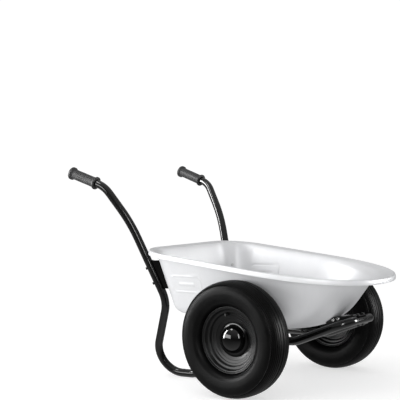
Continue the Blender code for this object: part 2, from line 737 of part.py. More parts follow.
def main():
    clear_scene()
    materials = {
        "steel": make_material("galvanised_steel", (0.72, 0.73, 0.74), 0.38, 0.85),
        "paint": make_material("gloss_black_paint", (0.012, 0.012, 0.013), 0.22, 0.0),
        "zinc": make_material("zinc_plate", (0.55, 0.55, 0.56), 0.35, 1.0),
        "tyre": make_material("tyre_rubber", (0.020, 0.020, 0.021), 0.62, 0.0),
        "rim": make_material("satin_black_rim", (0.030, 0.030, 0.032), 0.38, 0.0),
        "rubber": make_material("black_rubber", (0.016, 0.016, 0.017), 0.70, 0.0),
        "plastic": make_material("bush_plastic", (0.75, 0.74, 0.70), 0.50, 0.0),
        "gloss": make_material("gloss_black_cap", (0.010, 0.010, 0.011), 0.12, 0.0),
    }
    root = make_empty("wheelbarrow", location=(ORIGIN_SHIFT, 0, 0))
    tray = make_tray(materials["steel"], root)
    side_reference = Vector((0, 1, 0))
    tubes = [make_tube(f"side_tube_{side}", side_path(hand), side_reference, materials["paint"], root)
             for side, hand in SIDES]
    loop_reference = Vector((-0.36, 0, 0.93))
    loop = make_tube("front_loop", loop_path(), loop_reference, materials["paint"], root)
    for (side, hand), tube in zip(SIDES, tubes):
        make_rear_bracket(side, hand, tray, tube, materials, root)
        make_axle_bracket(side, hand, tray, tube, materials, root)
        make_grip(f"grip_{side}", hand, materials["rubber"], root)
    make_cross_brace(tubes, materials, root)
    make_front_support(tray, loop, materials, root)
    make_axle(materials, root)
    for side, hand in SIDES:
        make_wheel(side, hand, materials, root)


main()
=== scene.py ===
"""Looks for the two-wheeled tub wheelbarrow: fine meshes, materials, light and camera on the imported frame.

Lengths are metres. Shapes are made from the axle line (x = 0 at the axle, z = 0 on the ground), as the solids
are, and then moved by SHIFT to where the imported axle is.
"""

import math

import bmesh
import bpy
from mathutils import Matrix, Vector


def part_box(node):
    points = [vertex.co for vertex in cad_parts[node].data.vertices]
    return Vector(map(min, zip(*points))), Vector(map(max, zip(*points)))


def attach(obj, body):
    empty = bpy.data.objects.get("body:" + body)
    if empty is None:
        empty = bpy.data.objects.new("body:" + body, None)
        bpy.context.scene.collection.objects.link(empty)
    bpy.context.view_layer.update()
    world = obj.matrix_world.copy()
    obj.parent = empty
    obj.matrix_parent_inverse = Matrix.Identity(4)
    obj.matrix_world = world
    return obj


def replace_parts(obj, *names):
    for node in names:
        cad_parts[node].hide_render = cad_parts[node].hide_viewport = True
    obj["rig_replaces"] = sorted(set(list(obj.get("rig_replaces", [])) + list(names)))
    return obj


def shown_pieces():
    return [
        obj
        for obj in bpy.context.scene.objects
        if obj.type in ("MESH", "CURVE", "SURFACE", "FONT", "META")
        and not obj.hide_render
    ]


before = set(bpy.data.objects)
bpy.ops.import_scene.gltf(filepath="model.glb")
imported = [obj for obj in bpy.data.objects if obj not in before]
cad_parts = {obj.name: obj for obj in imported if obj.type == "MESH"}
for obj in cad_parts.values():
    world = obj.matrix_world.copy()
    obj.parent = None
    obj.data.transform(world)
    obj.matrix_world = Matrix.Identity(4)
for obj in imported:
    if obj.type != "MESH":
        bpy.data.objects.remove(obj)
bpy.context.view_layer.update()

# Where the wheels are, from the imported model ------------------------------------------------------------
axle_low, axle_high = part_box("axle")
tyre_low, tyre_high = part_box("tyre_left")
SHIFT = Vector(((axle_low.x + axle_high.x) / 2, 0, 0))
WHEEL_RADIUS = (axle_low.z + axle_high.z) / 2
HALF_TRACK = (tyre_low.y + tyre_high.y) / 2
AXLE_REACH = axle_high.y
AXLE_RADIUS = 0.0100
AXLE_EASE = 0.0014
SIDES = (("left", 1), ("right", -1))
# Clearance between two pieces that touch
GAP = 0.0003

# Frame tubes --------------------------------------------------------------------------------------------
TUBE_RADIUS = 0.015
TUBE_WALL = 0.0016
TUBE_LEVEL = 0.170
TUBE_SIDES = 40
BRACE_X = -0.235
BRACE_RADIUS, BRACE_BORE, BRACE_EASE = 0.011, 0.0085, 0.0004
BRACE_SIDES = 32
BRACE_GAP = 0.0002
BEND_STEPS = 14
SIDE_TUBE_LINE = (
    ((-0.746, 0.331, 0.775), 0.0),
    ((-0.595, 0.318, 0.7225), 0.092),
    ((-0.502, 0.280, 0.586), 0.530),
    ((-0.395, 0.209, 0.291), 0.107),
    ((-0.520, 0.146, TUBE_RADIUS), 0.088),
    ((-0.322, 0.128, TUBE_RADIUS), 0.103),
    ((-0.085, 0.124, TUBE_LEVEL), 0.110),
    ((0.020, 0.118, TUBE_LEVEL), 0.0),
)
LOOP_LINE = (
    ((0.0206, 0.118, TUBE_LEVEL), 0.0),
    ((0.105, 0.114, TUBE_LEVEL), 0.110),
    ((0.302, 0.102, 0.246), 0.058),
    ((0.302, -0.102, 0.246), 0.058),
    ((0.105, -0.114, TUBE_LEVEL), 0.110),
    ((0.0206, -0.118, TUBE_LEVEL), 0.0),
)

# Tray ---------------------------------------------------------------------------------------------------
SHEET = 0.0014
RIM_REAR_X, RIM_FRONT_X = -0.460, 0.391
RIM_REAR_Z, RIM_FRONT_Z = 0.4915, 0.396
RIM_HALF_WIDTH = 0.306
FLOOR_REAR_X, FLOOR_FRONT_X = -0.370, 0.175
FLOOR_REAR_Z = 0.2585
FLOOR_SLOPE = math.tan(math.radians(6.5))
FLOOR_HALF_WIDTH = 0.213
FLOOR_NOSE_LENGTH = 0.19
NOSE_START = FLOOR_FRONT_X - FLOOR_NOSE_LENGTH
FLARE_REAR, FLARE_SIDE, FLARE_NOSE = 0.018, 0.032, 0.075
# How far the walls' top is below the rim, how far the floor's fillet reaches inwards, and the share of the
# wall that it takes: each along the sides, and then what the nose adds
TOP_DROP = (0.013, 0.014)
FILLET_REACH = (0.028, 0.10)
FILLET_SHARE = (0.14, 0.44)
FLOOR_MIDDLE_X = -0.09
# The stretch of each rear corner, in degrees from the rear, that is flat under its bracket
CORNER_FLAT = (22.5, 45)
# Corner radius, nose length and fullness of the tray's outline at its floor, at its walls' top and at its rim
FLOOR_OUTLINE = (0.045, FLOOR_NOSE_LENGTH, 2.2)
WALL_OUTLINE = (0.112, 0.36, 2.3)
RIM_OUTLINE = (0.136, 0.395, 2.26)
# The rim's bead: how far it reaches and drops, the skirt below it (reach, drop), and the curl at its edge
BEAD_REACH, BEAD_DROP = 0.0070, 0.0078
SKIRT = ((0.0075, 0.0120), (0.0077, 0.0165))
CURL_RADIUS = 0.0026
EMBOSS_CENTRE = (-0.266, 0.366)
EMBOSS_HALF = (0.066, 0.029)
EMBOSS_CORNER = 0.014
EMBOSS_LINE = 0.0036
EMBOSS_HEIGHT = 0.0014
EMBOSS_BAR_HALF = 0.030
EMBOSS_BAR_LINE = 0.0085

# Plate between the front loop and the tray's nose, and the heights its lower flange runs between ----------
SUPPORT_PLATE = 0.003
SUPPORT_WIDTH = 0.060
SUPPORT_CLEAR = 0.0008
SUPPORT_LOW, SUPPORT_HIGH = 0.228, 0.256
SUPPORT_FRONT, SUPPORT_FOLD = 0.013, 0.015

# Grips --------------------------------------------------------------------------------------------------
GRIP_LENGTH = 0.125
GRIP_RADIUS = 0.0195
GRIP_FLANGE = 0.0245
GRIP_GROOVES = 10
GRIP_GROOVE_DEPTH = 0.0014
GRIP_COLLAR = 0.012

# Wheels: steps round each piece, then sizes; an offset is outboard of the wheel's middle plane ------------
WHEEL_STEPS = 144
TYRE_STEPS = 180
CAP_STEPS = 96
HUB_STEPS = 64
# Tyre: the radius its arch springs from, its height and half width, the powers that make the arch squarish,
# the height of the hollow inside, the sidewall's thickness, and the flank that curves in to the bead
TYRE_MIDDLE = 0.145
TYRE_HEIGHT = WHEEL_RADIUS - TYRE_MIDDLE
TYRE_HALF = tyre_high.y - HALF_TRACK
TYRE_UP_POWER, TYRE_OUT_POWER = 0.5, 0.75
TYRE_HOLLOW = 0.0485
TYRE_SIDEWALL = 0.006
FLANK_DROP, FLANK_FOOT, FLANK_BULGE = 0.0275, 0.0300, 0.0273
TREAD_DEGREES = 54
GROOVE_PITCH = 9
GROOVE_DEPTH = 0.0022
SHOULDER_GROOVE_DEPTH = 0.0030
# Rim: its sheet, and the middle and rounding of its rolled lip
RIM_SHEET = 0.0018
RIM_LIP_RADIUS, RIM_LIP_OFFSET = 0.1128, 0.0310
RIM_LIP_ROUND = 0.0024
# Each wall down the rim's dish: radius and offset of its top edge, then of its foot
RIM_WALLS = (
    (0.1046, 0.0298, 0.1005, 0.0194),
    (0.0928, 0.0184, 0.0893, 0.0102),
    (0.0816, 0.0092, 0.0717, 0.0052),
)
# Hub cap: its dome's radius, where the dome starts outboard, how far it stands out, and how round its edge is
CAP_RADIUS = 0.0485
CAP_BASE, CAP_CROWN = 0.0075, 0.0330
CAP_POWER = 0.92
# Valve stem: where it turns outboard and how far it then runs, its thickness, and its place round the wheel
VALVE_HEIGHT = 0.0855
VALVE_RUN = 0.0130
VALVE_RADIUS = 0.0038
VALVE_SIDES = 24
VALVE_TURN = Matrix.Rotation(math.radians(-12), 3, "Y")

# Camera: where it stands from the axle's foot on the ground, and how it is turned
CAMERA_PLACE = Vector((2.0962, -3.1984, 0.7610))
CAMERA_AZIMUTH = 37.876
CAMERA_ELEVATION = 1.394
CAMERA_ROLL = -1.205
CAMERA_LENS = 94.45

# Studio: the floor's grey, how strongly it glows like a lit white table, the backdrop's strength, and where
# the soft light from all round is strongest
FLOOR_REACH = 60.0
FLOOR_GREY = 0.60
FLOOR_GLOW = 0.58
BACKDROP_GLOW = 1.05
SOFT_LIGHT_FROM = Vector((-0.50, -0.75, 0.25)).normalized()


# Materials ----------------------------------------------------------------------------------------------
# How much the fine grain adds to the patches where they set the roughness
GRAIN_SHARE = 0.35


def node(tree, kind, inputs=None, **settings):
    """A new shader node, with its settings and the values of its named inputs."""
    made = tree.nodes.new(kind)
    for name, value in settings.items():
        setattr(made, name, value)
    for name, value in (inputs or {}).items():
        made.inputs[name].default_value = value
    return made


def finish_material(name, colour, tint, roughness, metallic=0.0, patch=9.0, grain=900.0, relief=0.00004,
                    wave=0.0, specular=0.5, stretch=(1, 1, 1)):
    """A surface whose colour drifts between colour and tint and whose roughness drifts over its range in
    patches, with a fine grain and, where wave isn't 0, a broad unevenness under it."""
    material = bpy.data.materials.new(name)
    material.use_nodes = True
    tree = material.node_tree
    shader = tree.nodes["Principled BSDF"]
    link = tree.links.new
    shader.inputs["Metallic"].default_value = metallic
    shader.inputs["Specular IOR Level"].default_value = specular
    place = node(tree, "ShaderNodeTexCoord")
    mapping = node(tree, "ShaderNodeMapping", {"Scale": stretch})
    link(place.outputs["Object"], mapping.inputs["Vector"])
    patches = node(tree, "ShaderNodeTexNoise", {"Scale": patch, "Detail": 5.0, "Roughness": 0.6})
    link(mapping.outputs["Vector"], patches.inputs["Vector"])
    spread = node(tree, "ShaderNodeMapRange", {"From Min": 0.32, "From Max": 0.68})
    link(patches.outputs["Fac"], spread.inputs["Value"])
    paint = node(tree, "ShaderNodeMix", data_type="RGBA")
    paint.inputs[6].default_value = (*colour, 1)
    paint.inputs[7].default_value = (*tint, 1)
    link(spread.outputs["Result"], paint.inputs[0])
    link(paint.outputs[2], shader.inputs["Base Color"])
    fine = node(tree, "ShaderNodeTexNoise", {"Scale": grain, "Detail": 3.0, "Roughness": 0.55})
    link(mapping.outputs["Vector"], fine.inputs["Vector"])
    blend = node(tree, "ShaderNodeMath", operation="MULTIPLY_ADD")
    blend.inputs[1].default_value = GRAIN_SHARE
    link(fine.outputs["Fac"], blend.inputs[0])
    link(spread.outputs["Result"], blend.inputs[2])
    rough = node(tree, "ShaderNodeMapRange", {"From Max": 1 + GRAIN_SHARE, "To Min": roughness[0],
                                              "To Max": roughness[1]})
    link(blend.outputs["Value"], rough.inputs["Value"])
    link(rough.outputs["Result"], shader.inputs["Roughness"])
    bump = node(tree, "ShaderNodeBump", {"Strength": 1.0, "Distance": relief})
    link(fine.outputs["Fac"], bump.inputs["Height"])
    if wave:
        slow = node(tree, "ShaderNodeTexNoise", {"Scale": 7.0, "Detail": 1.0, "Roughness": 0.4})
        link(place.outputs["Object"], slow.inputs["Vector"])
        sway = node(tree, "ShaderNodeBump", {"Strength": 1.0, "Distance": wave})
        link(slow.outputs["Fac"], sway.inputs["Height"])
        link(sway.outputs["Normal"], bump.inputs["Normal"])
    link(bump.outputs["Normal"], shader.inputs["Normal"])
    material.diffuse_color = (*colour, 1)
    return material


MATERIALS = {
    "steel": finish_material("tray_steel", (0.70, 0.705, 0.715), (0.63, 0.635, 0.65), (0.42, 0.52), 0.18,
                             patch=5.0, grain=420.0, relief=0.00002, wave=0.0008, stretch=(1, 1, 0.35)),
    "paint": finish_material("frame_paint", (0.002, 0.002, 0.002), (0.004, 0.004, 0.004), (0.10, 0.16),
                             patch=14.0, grain=700.0, relief=0.000012, specular=0.36),
    "bolt": finish_material("bolt_black", (0.010, 0.010, 0.010), (0.020, 0.020, 0.020), (0.24, 0.38),
                            patch=120.0, grain=1600.0, relief=0.00002, specular=0.3),
    "zinc": finish_material("bolt_zinc", (0.62, 0.62, 0.63), (0.46, 0.46, 0.45), (0.26, 0.44), 1.0,
                            patch=120.0, grain=1600.0, relief=0.00002),
    "tyre": finish_material("tyre_rubber", (0.0012, 0.0012, 0.0013), (0.0030, 0.0030, 0.0030), (0.36, 0.46),
                            patch=16.0, grain=1300.0, relief=0.00006, specular=0.065),
    "rim": finish_material("rim_enamel", (0.0025, 0.0025, 0.0026), (0.0045, 0.0045, 0.0046), (0.26, 0.34),
                           patch=18.0, grain=900.0, relief=0.00002, specular=0.22),
    "grip": finish_material("grip_rubber", (0.019, 0.019, 0.0195), (0.024, 0.024, 0.0245), (0.50, 0.58),
                            patch=20.0, grain=2200.0, relief=0.000004, specular=0.3),
    "rubber": finish_material("stem_rubber", (0.006, 0.006, 0.006), (0.011, 0.011, 0.011), (0.5, 0.7),
                              patch=60.0, grain=2000.0, relief=0.00004, specular=0.25),
    "plastic": finish_material("bush_nylon", (0.72, 0.71, 0.66), (0.60, 0.58, 0.53), (0.42, 0.58),
                               patch=80.0, grain=1500.0, relief=0.00003),
    "cap": finish_material("cap_gloss", (0.0008, 0.0008, 0.0008), (0.0015, 0.0015, 0.0015), (0.05, 0.08),
                           patch=30.0, grain=900.0, relief=0.000006, specular=0.34),
}


# Mesh helpers -------------------------------------------------------------------------------------------
def make_piece(name, points, faces, finish, body, stands_for, sharp_degrees=32):
    """A closed mesh piece, moved from the axle line into the frame, riding on its body."""
    mesh = bpy.data.meshes.new(name)
    mesh.from_pydata([tuple(Vector(point) + SHIFT) for point in points], [], faces)
    shell = bmesh.new()
    shell.from_mesh(mesh)
    bmesh.ops.recalc_face_normals(shell, faces=shell.faces)
    shell.to_mesh(mesh)
    shell.free()
    mesh.shade_smooth()
    mesh.set_sharp_from_angle(angle=math.radians(sharp_degrees))
    mesh.materials.append(MATERIALS[finish])
    piece = bpy.data.objects.new(name, mesh)
    bpy.context.scene.collection.objects.link(piece)
    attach(piece, body)
    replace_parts(piece, stands_for)
    return piece


def joined_rings(rings, closed_path=False):
    """Points and faces of a skin over rings of equal count; open paths get a cap at each end."""
    count = len(rings[0])
    points = [point for ring in rings for point in ring]
    faces = []
    last = len(rings) if closed_path else len(rings) - 1
    for row in range(last):
        here = row * count
        there = (row + 1) % len(rings) * count
        for step in range(count):
            beside = (step + 1) % count
            faces.append((here + step, here + beside, there + beside, there + step))
    if not closed_path:
        faces.append(tuple(range(count)))
        faces.append(tuple(range(len(points) - count, len(points))))
    return points, faces


def circle_angles(count):
    """Count even angles round a circle, in radians, from its lowest point."""
    return [2 * math.pi * step / count - math.pi / 2 for step in range(count)]


def turned(name, profile, finish, body, centre_y, hand, steps=WHEEL_STEPS, closed=True):
    """A piece turned about the axle. The profile holds (radius, offset outboard of centre_y): a closed loop,
    or a line whose two ends are closed by flat caps."""
    spokes = [(math.cos(angle), math.sin(angle)) for angle in circle_angles(steps)]

    def place(radius, offset, spoke):
        return Vector((radius * spoke[0], hand * (centre_y + offset), WHEEL_RADIUS + radius * spoke[1]))

    if closed:
        rings = [[place(radius, offset, spoke) for radius, offset in profile] for spoke in spokes]
    else:
        rings = [[place(radius, offset, spoke) for spoke in spokes] for radius, offset in profile]
    points, faces = joined_rings(rings, closed_path=closed)
    return make_piece(name, points, faces, finish, body, name.replace("fine_", ""))


def bent_path(line, steps=BEND_STEPS):
    """Points along straight runs joined by arcs: each corner of the line gives way to its bend radius."""
    path = [Vector(line[0][0])]
    for index in range(1, len(line) - 1):
        before = Vector(line[index - 1][0])
        corner, radius = Vector(line[index][0]), line[index][1]
        after = Vector(line[index + 1][0])
        back = (before - corner).normalized()
        ahead = (after - corner).normalized()
        half = back.angle(ahead) / 2
        start = corner + back * (radius / math.tan(half))
        centre = corner + (back + ahead).normalized() * (radius / math.sin(half))
        spoke = start - centre
        turn_axis = back.cross(ahead).normalized()
        turn = math.pi - 2 * half
        count = max(6, math.ceil(steps * turn / (math.pi / 2)))
        for step in range(count + 1):
            path.append(centre + Matrix.Rotation(-turn * step / count, 3, turn_axis) @ spoke)
    path.append(Vector(line[-1][0]))
    return path


def path_frames(path, reference):
    """(point, side, up) along a path, with the side vector held close to the reference."""
    frames = []
    for index, point in enumerate(path):
        tangent = (path[min(index + 1, len(path) - 1)] - path[max(index - 1, 0)]).normalized()
        side = (reference - tangent * reference.dot(tangent)).normalized()
        frames.append((point, side, tangent.cross(side)))
    return frames


def ring_around(place, radius, sides):
    """A circle of points about one place of a path: (point, side, up)."""
    point, side, up = place
    return [point + side * (radius * math.cos(a)) + up * (radius * math.sin(a)) for a in circle_angles(sides)]


def across(direction):
    """Two unit vectors square to a direction, and to each other."""
    helper = Vector((0, 0, 1)) if abs(direction.z) < 0.9 else Vector((1, 0, 0))
    first = direction.cross(helper).normalized()
    return first, direction.cross(first).normalized()


def spaced(start, end, count):
    """Count even values from start to end, both ends in."""
    return [start + (end - start) * step / (count - 1) for step in range(count)]


# Tray ---------------------------------------------------------------------------------------------------
def floor_height(x):
    """Height of the tray's floor, which slopes down towards the nose."""
    return FLOOR_REAR_Z - FLOOR_SLOPE * (x - FLOOR_REAR_X)


def rim_height(x):
    """Height of the tray's rim, which is highest at the rear."""
    share = (x - RIM_REAR_X) / (RIM_FRONT_X - RIM_REAR_X)
    return RIM_REAR_Z + share * (RIM_FRONT_Z - RIM_REAR_Z)


def outline(rear_x, front_x, half_width, corner, nose_length, fullness, flat=0.0):
    """(x, y) points from the middle of the rear by way of the left side to the nose, and back by the right.
    A flat of 1 straightens the stretch of the rear corner that the bracket is bolted to."""
    half = [(rear_x, y) for y in spaced(0, half_width - corner, 13)[:-1]]

    def on_corner(degrees):
        angle = math.radians(degrees)
        return (rear_x + corner - corner * math.cos(angle), half_width - corner + corner * math.sin(angle))

    first, last = CORNER_FLAT
    flat_start, flat_end = on_corner(first), on_corner(last)
    for degrees in spaced(0, 90, 21):
        x, y = on_corner(degrees)
        if first < degrees < last:
            share = (degrees - first) / (last - first)
            x += flat * (flat_start[0] + (flat_end[0] - flat_start[0]) * share - x)
            y += flat * (flat_start[1] + (flat_end[1] - flat_start[1]) * share - y)
        half.append((x, y))
    side_start, side_end = rear_x + corner, front_x - nose_length
    for share in [*spaced(0, 0.46, 73)[1:], *spaced(0.46, 1.0, 22)[1:]]:
        half.append((side_start + (side_end - side_start) * share, half_width))
    nose_steps = 54
    for step in range(1, nose_steps):
        angle = math.pi / 2 * step / nose_steps
        half.append((side_end + nose_length * math.sin(angle) ** (2 / fullness),
                     half_width * math.cos(angle) ** (2 / fullness)))
    half.append((front_x, 0.0))
    return half + [(x, -y) for x, y in reversed(half[1:-1])]


def rim_ring(grow, drop):
    """The rim's outline, grown outwards and dropped below the rim's plane."""
    corner, nose_length, fullness = RIM_OUTLINE
    line = outline(RIM_REAR_X - grow, RIM_FRONT_X + grow, RIM_HALF_WIDTH + grow, corner + grow,
                   nose_length + grow, fullness)
    return [Vector((x, y, rim_height(x) - drop)) for x, y in line]


def between(first, second, share):
    """The ring of points at a share of the way from the first ring to the second."""
    return [low.lerp(high, share) for low, high in zip(first, second)]


def curved(first, corner, second, share):
    """One row of a quadratic curve that leaves first towards corner and arrives at second."""
    return between(between(first, corner, share), between(corner, second, share), share)


def tray_skin():
    """Rings of the tray's inner face, from the middle of the floor out and up, over the rim and down."""
    floor_edge = outline(FLOOR_REAR_X, FLOOR_FRONT_X, FLOOR_HALF_WIDTH, *FLOOR_OUTLINE, flat=1.0)
    corners = [Vector((x, y, floor_height(x))) for x, y in floor_edge]
    wall_top = outline(RIM_REAR_X + FLARE_REAR, RIM_FRONT_X - FLARE_NOSE, RIM_HALF_WIDTH - FLARE_SIDE,
                       *WALL_OUTLINE, flat=1.0)
    # How much each place round the tray belongs to the nose: 0 along the rear and the sides, 1 at its tip
    noses = [min(max((corner.x - NOSE_START) / FLOOR_NOSE_LENGTH, 0.0), 1.0) for corner in corners]
    noses = [nose * nose * (3 - 2 * nose) for nose in noses]
    tops = [Vector((x, y, rim_height(x) - TOP_DROP[0] - TOP_DROP[1] * nose))
            for (x, y), nose in zip(wall_top, noses)]
    middle = Vector((FLOOR_MIDDLE_X, 0, floor_height(FLOOR_MIDDLE_X)))
    starts, ends = [], []
    for corner, top, nose in zip(corners, tops, noses):
        start = corner + (middle - corner).normalized() * (FILLET_REACH[0] + FILLET_REACH[1] * nose)
        start.z = floor_height(start.x)
        starts.append(start)
        ends.append(corner.lerp(top, FILLET_SHARE[0] + FILLET_SHARE[1] * nose))
    spine = [Vector((start.x * 0.75 - 0.02, 0, floor_height(start.x * 0.75 - 0.02))) for start in starts]
    rings = [between(spine, starts, share) for share in (0.06, 0.3, 0.55, 0.8)]
    rings += [curved(starts, corners, ends, share) for share in spaced(0, 1, 15)]
    crest = rim_ring(-0.0040, 0.0012)
    lip = [low.lerp(high, 0.42) + Vector((0, 0, 0.0035)) for low, high in zip(tops, crest)]
    bend_start = between(ends, tops, 0.86)
    rings += [between(ends, bend_start, share)
              for share in [*spaced(0, 0.22, 5)[1:], *spaced(0.22, 0.80, 33)[1:], *spaced(0.80, 1, 5)[1:]]]
    rings += [curved(bend_start, tops, lip, share) for share in spaced(0, 1, 11)[1:]]
    rings += [between(lip, crest, share) for share in spaced(0, 1, 6)[1:]]
    bead = [(0.0004 + BEAD_REACH * math.sin(angle), BEAD_DROP - BEAD_DROP * math.cos(angle))
            for angle in spaced(math.radians(-18), math.radians(90), 9)]
    curl_reach, curl_drop = SKIRT[-1]
    curl = [(curl_reach - CURL_RADIUS * (1 - math.cos(angle)), curl_drop + CURL_RADIUS * math.sin(angle))
            for angle in spaced(math.radians(30), math.radians(200), 7)]
    rings += [rim_ring(grow, drop) for grow, drop in [*bead, *SKIRT, *curl]]
    return rings


def emboss(point):
    """How far the sheet stands out at a point, for the plain rounded frame pressed into each side wall."""
    across_x = max(abs(point.x - EMBOSS_CENTRE[0]) - EMBOSS_HALF[0] + EMBOSS_CORNER, 0.0)
    across_z = max(abs(point.z - EMBOSS_CENTRE[1]) - EMBOSS_HALF[1] + EMBOSS_CORNER, 0.0)
    away = abs(math.hypot(across_x, across_z) - EMBOSS_CORNER)
    if across_x == 0.0 and across_z == 0.0:
        away = EMBOSS_CORNER
    line = max(1 - away / EMBOSS_LINE, 0.0)
    bar_x = max(abs(point.x - EMBOSS_CENTRE[0]) - EMBOSS_BAR_HALF, 0.0)
    bar_z = abs(point.z - EMBOSS_CENTRE[1])
    bar = max(1 - math.hypot(bar_x, bar_z) / EMBOSS_BAR_LINE, 0.0)
    height = max(line, bar)
    return EMBOSS_HEIGHT * height * height * (3 - 2 * height)


def make_tray():
    """The tray's sheet: its inner skin with the emboss, and its outer skin one sheet's thickness away."""
    skin = tray_skin()
    count = len(skin[0])
    outward = []
    for row, ring in enumerate(skin):
        if row == 0:
            outward.append([Vector((-FLOOR_SLOPE, 0, -1)).normalized()] * count)
            continue
        directions = []
        for index in range(count):
            along = ring[(index + 1) % count] - ring[index - 1]
            rise = skin[min(row + 1, len(skin) - 1)][index] - skin[row - 1][index]
            directions.append(rise.cross(along).normalized())
        outward.append(directions)
    raised = [[point + way * emboss(point) for point, way in zip(ring, ways)]
              for ring, ways in zip(skin, outward)]
    backs = [[point + way * SHEET for point, way in zip(ring, ways)]
             for ring, ways in zip(raised, outward)]
    points, faces = joined_rings(raised + backs[::-1])
    return make_piece("fine_tray", points, faces, "steel", "frame", "tray", sharp_degrees=60)


# Tubes and grips ----------------------------------------------------------------------------------------
def make_tube(name, path, reference):
    """A hollow tube: its outer skin runs along the path and its bore runs back."""
    frames = path_frames(path, reference)
    outer = [ring_around(place, TUBE_RADIUS, TUBE_SIDES) for place in frames]
    inner = [ring_around(place, TUBE_RADIUS - TUBE_WALL, TUBE_SIDES) for place in reversed(frames)]
    points, faces = joined_rings(outer + inner, closed_path=True)
    return make_piece(f"fine_{name}", points, faces, "paint", "frame", name)


def grip_angles():
    """(angle, groove depth share) round the grip: each groove has two lips, two bottom corners and a land."""
    pitch = 360 / GRIP_GROOVES
    stations = []
    for groove in range(GRIP_GROOVES):
        middle = groove * pitch
        for offset, share in ((-3.6, 0.0), (-2.2, 0.85), (0.0, 1.0), (2.2, 0.85), (3.6, 0.0)):
            stations.append((middle + offset, share))
        stations += [(middle + offset, 0.0) for offset in spaced(3.6, pitch - 3.6, 8)[1:-1]]
    return stations


def make_grip(side, hand):
    """A grip pushed over the tube's end: an end disc, a flare, the grooved body and a round collar.
    Its stations hold the distance along the tube, the radius, and 1 where the grooves are cut."""
    end, inner = Vector(SIDE_TUBE_LINE[0][0]), Vector(SIDE_TUBE_LINE[1][0])
    end.y *= hand
    inner.y *= hand
    direction = (inner - end).normalized()
    first, second = across(direction)
    bore = TUBE_RADIUS + GAP
    flare = [(0.0045 + 0.0135 * share, GRIP_RADIUS + (GRIP_FLANGE - GRIP_RADIUS) * (1 - share) ** 2.6, 0.0)
             for share in spaced(0, 1, 8)]
    body_end = GRIP_LENGTH - GRIP_COLLAR
    stations = [
        (-0.0003, 0.0055, 0), (-0.0036, 0.0055, 0), (-0.0040, 0.0060, 0), (-0.0040, GRIP_FLANGE - 0.0016, 0),
        (-0.0036, GRIP_FLANGE - 0.0006, 0), (-0.0026, GRIP_FLANGE, 0), (0.0030, GRIP_FLANGE, 0), *flare,
        (0.0200, GRIP_RADIUS, 0), (0.0225, GRIP_RADIUS, 1), (0.060, GRIP_RADIUS, 1),
        (body_end - 0.0075, GRIP_RADIUS, 1), (body_end - 0.005, GRIP_RADIUS, 0),
        (body_end, GRIP_RADIUS, 0), (body_end + 0.0008, GRIP_RADIUS + 0.0003, 0),
        (body_end + 0.0016, GRIP_FLANGE - 0.0012, 0), (body_end + 0.0022, GRIP_FLANGE - 0.0003, 0),
        (body_end + 0.0030, GRIP_FLANGE, 0), (body_end + 0.0062, GRIP_FLANGE, 0),
        (body_end + 0.0074, GRIP_FLANGE - 0.0008, 0), (body_end + 0.0080, GRIP_FLANGE - 0.0022, 0),
        (body_end + 0.0080, bore, 0), (-0.0003, bore, 0),
    ]
    rings = []
    for along, radius, grooved in stations:
        ring = []
        for degrees, share in grip_angles():
            angle = math.radians(degrees)
            reach = radius - GRIP_GROOVE_DEPTH * share * grooved
            ring.append(end + direction * along + first * (reach * math.cos(angle))
                        + second * (reach * math.sin(angle)))
        rings.append(ring)
    points, faces = joined_rings(rings, closed_path=True)
    return make_piece(f"fine_grip_{side}", points, faces, "grip", "frame", f"grip_{side}")


# Wheels -------------------------------------------------------------------------------------------------
def tyre_arc(degrees, sink, height=TYRE_HEIGHT, half=TYRE_HALF):
    """(radius, offset) on the tyre's squarish arch, degrees away from its crown and sink below it."""
    angle = math.radians(abs(degrees))
    up = height * max(math.cos(angle), 0.0) ** TYRE_UP_POWER
    out = half * math.sin(angle) ** TYRE_OUT_POWER
    shrink = 1 - sink / math.hypot(up, out)
    return TYRE_MIDDLE + up * shrink, math.copysign(out * shrink, degrees)


def tyre_half_profile():
    """One half of the tyre's outer line, from the groove on its crown to the bead under the rim's lip."""
    line = [tyre_arc(0.001, GROOVE_DEPTH), tyre_arc(1.0, GROOVE_DEPTH)]
    middle = 0
    while middle < TREAD_DEGREES:
        after = middle + GROOVE_PITCH
        wide = 1.6 if after < TREAD_DEGREES else 2.4
        deep = GROOVE_DEPTH if after < TREAD_DEGREES else SHOULDER_GROOVE_DEPTH
        for degrees in spaced(middle + 1.6, after - wide, 4):
            line.append(tyre_arc(degrees, 0.0))
        line += [tyre_arc(after - wide * 0.6, deep), tyre_arc(after + wide * 0.6, deep)]
        middle = after
    line += [tyre_arc(degrees, sink) for degrees, sink in (
        (middle + 2.2, 0.0002), (middle + 3.2, -0.0004), (middle + 4.6, -0.0004), (middle + 6.0, 0.0006))]
    line += [tyre_arc(degrees, 0.0007) for degrees in spaced(middle + 8, 88, 10)]
    for degrees in spaced(4, 82, 12):
        angle = math.radians(degrees)
        line.append((TYRE_MIDDLE - FLANK_DROP * math.sin(angle), FLANK_FOOT + FLANK_BULGE * math.cos(angle)))
    line += [(0.1166, 0.0306), (0.1158, 0.0287), (0.1142, 0.0262), (0.1136, 0.0180), (0.1240, 0.0400)]
    return line


def tyre_profile():
    """Closed section of the tyre: its outer line from bead to bead, then the hollow inside."""
    half = tyre_half_profile()
    outer = [(radius, -offset) for radius, offset in reversed(half)] + half
    inner = [tyre_arc(degrees, 0.0, height=TYRE_HOLLOW, half=TYRE_HALF - TYRE_SIDEWALL)
             for degrees in spaced(89.9, -89.9, 25)]
    return outer + inner


